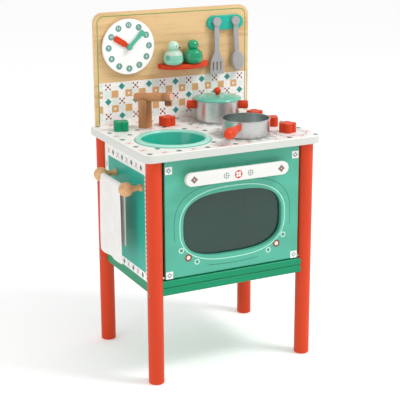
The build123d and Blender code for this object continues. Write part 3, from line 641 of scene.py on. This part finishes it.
end_diamonds, end_eyes, handle_sprigs, medal_petals = [], [], [], []
for side in (-1, 1):
    end_diamonds += diamond(side * HANDLE_DIAMOND_U, 0, 8.6)
    end_eyes += diamond(side * HANDLE_DIAMOND_U, 0, 1.6)
    handle_sprigs += flower(side * HANDLE_SPRIG_U, 0, 5.6, 1.9)
for du, dv in DIAGONALS:
    medal_petals += disc(3.0 * du, 3.0 * dv, 2.9, 14)
for name, shapes, colour, layer in (("handle_diamonds", end_diamonds, "brown", 1),
                                    ("handle_diamond_eyes", end_eyes, "white", 2),
                                    ("handle_sprigs", handle_sprigs, "moss", 1),
                                    ("handle_medal", disc(0, 0, 9.3, 32), "red", 1),
                                    ("handle_medal_flower", medal_petals, "white", 2)):
    printed(name, shapes, on_handle, colour, "door", layer)

# ---- left and right side panels: a white border of diamonds and crosses ----------------------------
BORDER, TOP_ROW_Z, TOP_BORDER_REACH, STRIP_REAR = 19.0, 480, 12.5, -103.5
FIRST_MARK_Y, MARK_STEP_Y, MARK_STEP_Z, LAST_MARK_Z, BEAD_STEP = -111, 26.2, 24, 462, 10


def side_print(side, sign):
    panel, rail = f"side_panel_{side}", f"side_rail_{side}"
    face = edge(panel, 0 if sign < 0 else 1, 0)

    def on_side(u, v, lift):
        return place(face + sign * lift, u, v)

    y0, y1 = edge(panel, 0, 1) + 3, edge(panel, 1, 1) - 3
    z0, z1 = edge(rail, 1, 2) + 1.0, edge(panel, 1, 2) - 0.5
    low, high, rear = z0 + BORDER, TOP_ROW_Z - TOP_BORDER_REACH, y1 - BORDER
    border = span(y0, y1, high, z1) + span(y0, y1, z0, low)
    border += span(rear, y1, low, high) + span(y0, STRIP_REAR, low, high)
    spots = []
    for k in range(9):
        y = FIRST_MARK_Y + MARK_STEP_Y * k
        if y0 + 12 <= y <= y1 - 12:
            spots += [(k, y, TOP_ROW_Z), (k, y, z0 + BORDER / 2)]
    for k in range(10):
        z = low + 8 + MARK_STEP_Z * k
        if z <= LAST_MARK_Z:
            spots.append((k, y1 - BORDER / 2, z))
    jewels, stitches, beads = [], [], []
    for k, y, z in spots:
        if k % 2:
            jewels += diamond(y, z, 6.0, 7.4)
        else:
            stitches += cross(y, z, 8.4, 1.7)
    for k in range(24):
        z = z0 + 8 + BEAD_STEP * k
        beads += diamond(STRIP_REAR - 3.6, z, 2.0, 3.2)
        beads += diamond(STRIP_REAR - 10.5, z + BEAD_STEP / 2, 2.0, 3.2)
    for name, shapes, colour, layer in (("border", border, "white", 1), ("jewels", jewels, "moss", 2),
                                        ("stitches", stitches, "mauve", 2), ("beads", beads, "wine", 2)):
        printed(f"{side}_{name}", shapes, on_side, colour, "cabinet", layer)
    if side == "left":
        # a small dark dot printed on the left panel
        printed("left_panel_dark_dot", disc(-24, 329, 3.2, 12), on_side, "night", "cabinet")


side_print("left", -1)
side_print("right", 1)

# ---- clock: number discs and numerals --------------------------------------------------------------
SPOT_CIRCLE, SPOT_RADIUS, NUMERAL_SIZE = 50.3, 7.6, 9.4
clock_front, clock_mid = edge("clock_face", 0, 1), middle("clock_face")


def on_clock(u, v, lift):
    return place(clock_mid.x + u, clock_front - lift, clock_mid.z + v)


hours = [(k, SPOT_CIRCLE * sin(pi * k / 6), SPOT_CIRCLE * cos(pi * k / 6)) for k in range(1, 13)]
spots = []
for _, u, v in hours:
    spots += disc(u, v, SPOT_RADIUS, 28)
printed("clock_spots", spots, on_clock, "slate", "cabinet")
points, faces = [], []
for hour, u, v in hours:
    letters = bpy.data.curves.new(f"hour_{hour}", "FONT")
    letters.body = str(hour)
    letters.size = NUMERAL_SIZE
    letters.align_x = "CENTER"
    letters.align_y = "CENTER"
    holder = bpy.data.objects.new(f"hour_{hour}", letters)
    bpy.context.scene.collection.objects.link(holder)
    bpy.context.view_layer.update()
    drawn = bpy.data.meshes.new_from_object(holder)
    first = len(points)
    points += [on_clock(u + vertex.co.x, v + vertex.co.y, 2 * LIFT) for vertex in drawn.vertices]
    faces += [[first + k for k in face.vertices] for face in drawn.polygons]
    bpy.data.objects.remove(holder)
    bpy.data.meshes.remove(drawn)
mesh_piece("clock_numerals", points, faces, inks["white"], "cabinet")


# ---- prints on turned pieces: each point is thrown onto the CAD surface ----------------------------
BIRD_THROW, SPOUT_THROW = 60, 80  # how far out the points start
BEAK_BASE, BEAK_TIP, BEAK_RADIUS, BEAK_HEIGHT, BEAK_SIDES = 8.5, 18.6, 4.0, 40.0, 16


def wrapped(name, shapes, node, body, colour, origin, right, up, layer=1):
    """Throws flat shapes along right x up onto a CAD node, from a plane through origin."""
    mesh = nodes[node].data
    tree = BVHTree.FromPolygons([v.co for v in mesh.vertices], [p.vertices for p in mesh.polygons])
    toward = -right.cross(up)
    points, faces = [], []
    for shape in shapes:
        hits = []
        for u, v in shape:
            start = place(*(origin + right * u + up * v))
            hit, normal, _, _ = tree.ray_cast(start, toward)
            if hit is None:
                break
            hits.append(hit + normal * (LIFT * layer / 1000))
        if len(hits) == len(shape):
            first = len(points)
            points += hits
            faces.append(list(range(first, len(points))))
    return mesh_piece(name, points, faces, inks[colour], body)


def dressed(node, body, prefix, beak_turn, feather, cheek, scalloped):
    """Breast dots, wing marks, cheeks and eyes for one bird, printed round its turned body."""
    mid, base = middle(node), edge(node, 0, 2)
    up = Vector((0, 0, 1))

    def print_at(tag, turn, shapes, colour, layer=1):
        out = Vector((cos(radians(turn)), sin(radians(turn)), 0))
        right = Vector((-out.y, out.x, 0))
        origin = Vector((mid.x, mid.y, base)) + out * BIRD_THROW
        wrapped(f"{prefix}_{tag}", shapes, node, body, colour, origin, right, up, layer)

    scallops = []
    for row, z in enumerate((13.5, 17.5, 21.5)):
        for k in range(-2, 3):
            scallops += disc(3.4 * k + 1.7 * (row % 2), z, 0.8, 8)
    for number, turn in enumerate((-110, -70, -30) if scalloped else ()):
        print_at(f"scallops_{number}", turn, scallops, feather)
    for number, turn in enumerate((-5, -150)):
        wing = ring(0, 18, 5.4, 1.2, 20) + ring(0, 18, 3.0, 1.0, 16) + disc(0, 18, 1.3, 8)
        print_at(f"wing_{number}", turn, wing, feather, 2)
    for number, side in enumerate((-48, 48)):
        print_at(f"cheek_{number}", beak_turn + side, disc(0, 43.0, 4.2, 18), cheek)
        print_at(f"eye_{number}", beak_turn + side, disc(0, 44.0, 1.4, 12), "night", 2)


def beak(name, node, turn, body, material):
    """A painted beak: a thin cone that covers the CAD's own."""
    mid = middle(node)
    out = Vector((cos(radians(turn)), sin(radians(turn)), 0))
    across = Vector((-out.y, out.x, 0))
    root = Vector((mid.x, mid.y, edge(node, 0, 2) + BEAK_HEIGHT))
    points = [place(*(root + out * BEAK_TIP))]
    for k in range(BEAK_SIDES):
        angle = 2 * pi * k / BEAK_SIDES
        rise = Vector((0, 0, BEAK_RADIUS * sin(angle)))
        points.append(place(*(root + out * BEAK_BASE + across * BEAK_RADIUS * cos(angle) + rise)))
    faces = [(0, 1 + k, 1 + (k + 1) % BEAK_SIDES) for k in range(BEAK_SIDES)]
    mesh_piece(name, points, faces, material, body, smooth=True)


dressed("mint_bird", "bird_mint", "mint_bird", -35, "moss", "white", True)
dressed("green_bird", "bird_green", "green_bird", 20, "sage", "mist", False)
beak("mint_bird_beak", "mint_bird", -35, "bird_mint", inks["wine"])
beak("green_bird_beak", "green_bird", 20, "bird_green", inks["night"])

# ---- a rosette on the tap spout's front end --------------------------------------------------------
SPOUT_TURN, SPOUT_RISE = radians(-60.0), radians(6.0)
spout = Vector((cos(SPOUT_TURN) * cos(SPOUT_RISE), sin(SPOUT_TURN) * cos(SPOUT_RISE), sin(SPOUT_RISE)))
spout_right = Vector((-sin(SPOUT_TURN), cos(SPOUT_TURN), 0))
spout_mid = middle("tap_spout")
for name, shapes, colour, layer in (("spout_end", disc(0, 0, 7.7, 28), "cream", 1),
                                    ("spout_ring", ring(0, 0, 6.8, 0.9, 28), "rose", 2),
                                    ("spout_flower", flower(0, 0, 3.6, 1.4), "rose", 2)):
    wrapped(name, shapes, "tap_spout", "tap", colour, spout_mid + spout * SPOUT_THROW,
            spout_right, spout.cross(spout_right), layer)

# ---- towel: a flat sheet hung over the rail, in metres; the cloth runs ten times larger ------------
TOWEL_WIDTH, TOWEL_LENGTH, TOWEL_THICKNESS = 0.118, 0.332, 0.0013
COLUMNS, ROWS, RAIL_GAP, RIPPLE, SKEW, SLACK_LENGTH = 34, 96, 0.0012, 0.0022, 0.012, 0.12
SIM_SCALE, LAST_FRAME = 10.0, 50
rail_low, rail_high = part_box("towel_rail")
rail = (rail_low + rail_high) / 2
rail_radius = (rail_high.z - rail_low.z) / 2
towel_low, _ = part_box("towel")
outer_drop = rail.z - towel_low.z
wrap_radius = rail_radius + RAIL_GAP
half_turn = pi * wrap_radius
verts, quads = [], []
for i in range(ROWS + 1):
    along = TOWEL_LENGTH * i / ROWS
    for j in range(COLUMNS + 1):
        share = j / COLUMNS
        y = towel_low.y + 0.001 + TOWEL_WIDTH * share
        if along < outer_drop:
            drop = outer_drop - along
            x, z = -wrap_radius, -drop
        elif along < outer_drop + half_turn:
            angle = (along - outer_drop) / wrap_radius
            drop = 0.0
            x, z = -wrap_radius * cos(angle), wrap_radius * sin(angle)
        else:
            drop = along - outer_drop - half_turn
            x, z = wrap_radius, -drop
        slack = min(1.0, drop / SLACK_LENGTH)
        ripple = RIPPLE * slack * (1 + sin(2 * pi * 1.3 * share + (0.9 if x < 0 else 2.4)))
        x += -ripple if x < 0 else ripple
        verts.append((rail.x + x, y + SKEW * slack * share, rail.z + z))
for i in range(ROWS):
    for j in range(COLUMNS):
        a = i * (COLUMNS + 1) + j
        quads.append((a, a + 1, a + COLUMNS + 2, a + COLUMNS + 1))
cloth_mesh = bpy.data.meshes.new("towel_cloth")
cloth_mesh.from_pydata([Vector(v) * SIM_SCALE for v in verts], [], quads)
cloth = bpy.data.objects.new("towel_cloth", cloth_mesh)
bpy.context.scene.collection.objects.link(cloth)

bpy.ops.mesh.primitive_cylinder_add(
    vertices=48, radius=rail_radius * SIM_SCALE, depth=(rail_high.y - rail_low.y) * SIM_SCALE,
    location=rail * SIM_SCALE, rotation=(pi / 2, 0, 0))
colliders = [bpy.context.object]
panel_low, panel_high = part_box("side_panel_left")
bpy.ops.mesh.primitive_cube_add(size=1, location=(panel_low + panel_high) / 2 * SIM_SCALE)
bpy.context.object.scale = (panel_high - panel_low) * SIM_SCALE
colliders.append(bpy.context.object)
for block in colliders:
    block.modifiers.new("collision", "COLLISION")
    block.collision.thickness_outer = 0.008
    block.collision.cloth_friction = 30.0
soft = cloth.modifiers.new("cloth", "CLOTH")
settings = soft.settings
settings.quality = 8
settings.mass = 0.25
settings.tension_stiffness = 20
settings.compression_stiffness = 20
settings.shear_stiffness = 8
settings.bending_stiffness = 1.2
settings.air_damping = 3
soft.collision_settings.distance_min = 0.006
soft.collision_settings.use_self_collision = False
soft.point_cache.frame_start = 1
soft.point_cache.frame_end = LAST_FRAME
scene = bpy.context.scene
for number in range(1, LAST_FRAME + 1):
    scene.frame_set(number)
settled = bpy.data.meshes.new_from_object(cloth.evaluated_get(bpy.context.evaluated_depsgraph_get()))
cloth.modifiers.clear()
cloth.data = settled
scene.frame_set(1)
for block in colliders:
    bpy.data.objects.remove(block)
for vertex in cloth.data.vertices:
    vertex.co /= SIM_SCALE
cloth.data.shade_smooth()
thick = cloth.modifiers.new("thickness", "SOLIDIFY")
thick.thickness = TOWEL_THICKNESS
thick.offset = 0.0
smooth = cloth.modifiers.new("smooth", "SUBSURF")
smooth.levels = 1
smooth.render_levels = 1
cloth.data.materials.clear()
cloth.data.materials.append(looks["towel_cotton"])
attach(cloth, "cabinet")
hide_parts("towel")

# ---- floor, light and camera -----------------------------------------------------------------------
bpy.ops.mesh.primitive_plane_add(size=40, location=(0, 8, -0.0005))
floor = bpy.context.object
floor.name = "studio_floor"
floor_look = Look("studio_floor")
patches = floor_look.noise(0.4, 1.0)
floor_look.colour(floor_look.ramp(patches, [(0.3, (0.93, 0.93, 0.93, 1)), (0.7, (0.95, 0.95, 0.95, 1))]))
floor_look.surface(0.9)
floor_look.shader.inputs["Emission Color"].default_value = (1, 1, 1, 1)
floor_look.shader.inputs["Emission Strength"].default_value = 0.19
floor.data.materials.append(floor_look.material)

# the sky is greyer at the horizon, which gives the steel something to mirror
world = bpy.data.worlds.new("studio")
bpy.context.scene.world = world
world.use_nodes = True
sky = world.node_tree
sky_coords = sky.nodes.new("ShaderNodeTexCoord")
sky_split = sky.nodes.new("ShaderNodeSeparateXYZ")
sky_ramp = sky.nodes.new("ShaderNodeValToRGB")
sky.links.new(sky_coords.outputs["Generated"], sky_split.inputs[0])
sky.links.new(sky_split.outputs["Z"], sky_ramp.inputs["Fac"])
sky_ramp.color_ramp.elements[0].position = 0.0
sky_ramp.color_ramp.elements[0].color = (0.62, 0.62, 0.63, 1)
sky_ramp.color_ramp.elements[1].position = 0.75
sky_ramp.color_ramp.elements[1].color = (1, 1, 1, 1)
sky.links.new(sky_ramp.outputs["Color"], sky.nodes["Background"].inputs["Color"])
sky.nodes["Background"].inputs["Strength"].default_value = 0.88


def soft_box(name, location, target, size, power):
    light = bpy.data.lights.new(name, "AREA")
    light.shape = "RECTANGLE"
    light.size, light.size_y = size
    light.energy = power
    lamp = bpy.data.objects.new(name, light)
    lamp.location = location
    lamp.rotation_euler = (Vector(target) - Vector(location)).to_track_quat("-Z", "Y").to_euler()
    bpy.context.scene.collection.objects.link(lamp)


LIT_SPOT = (0, 0, 0.4)
soft_box("key_light", (1.35, -1.2, 2.7), LIT_SPOT, (0.8, 0.8), 42)
soft_box("fill_light", (-2.6, -0.7, 1.2), LIT_SPOT, (1.6, 1.6), 9)

# the camera as fitted to the photo's straight edges; its turn is pitch, roll and heading in degrees
CAMERA_PITCH, CAMERA_ROLL, CAMERA_HEADING = -15.27, 0.2, -26.5
camera_data = bpy.data.cameras.new("camera")
camera = bpy.data.objects.new("camera", camera_data)
bpy.context.scene.collection.objects.link(camera)
camera_data.sensor_width = 36.0
camera_data.lens = 102.2
camera_data.shift_y = -0.05
camera.location = place(-1132.87, -2262.31, 1099.06)
camera.rotation_euler = (radians(90 + CAMERA_PITCH), radians(CAMERA_ROLL), radians(CAMERA_HEADING))
bpy.context.scene.camera = camera
bpy.context.scene.view_settings.view_transform = "Standard"
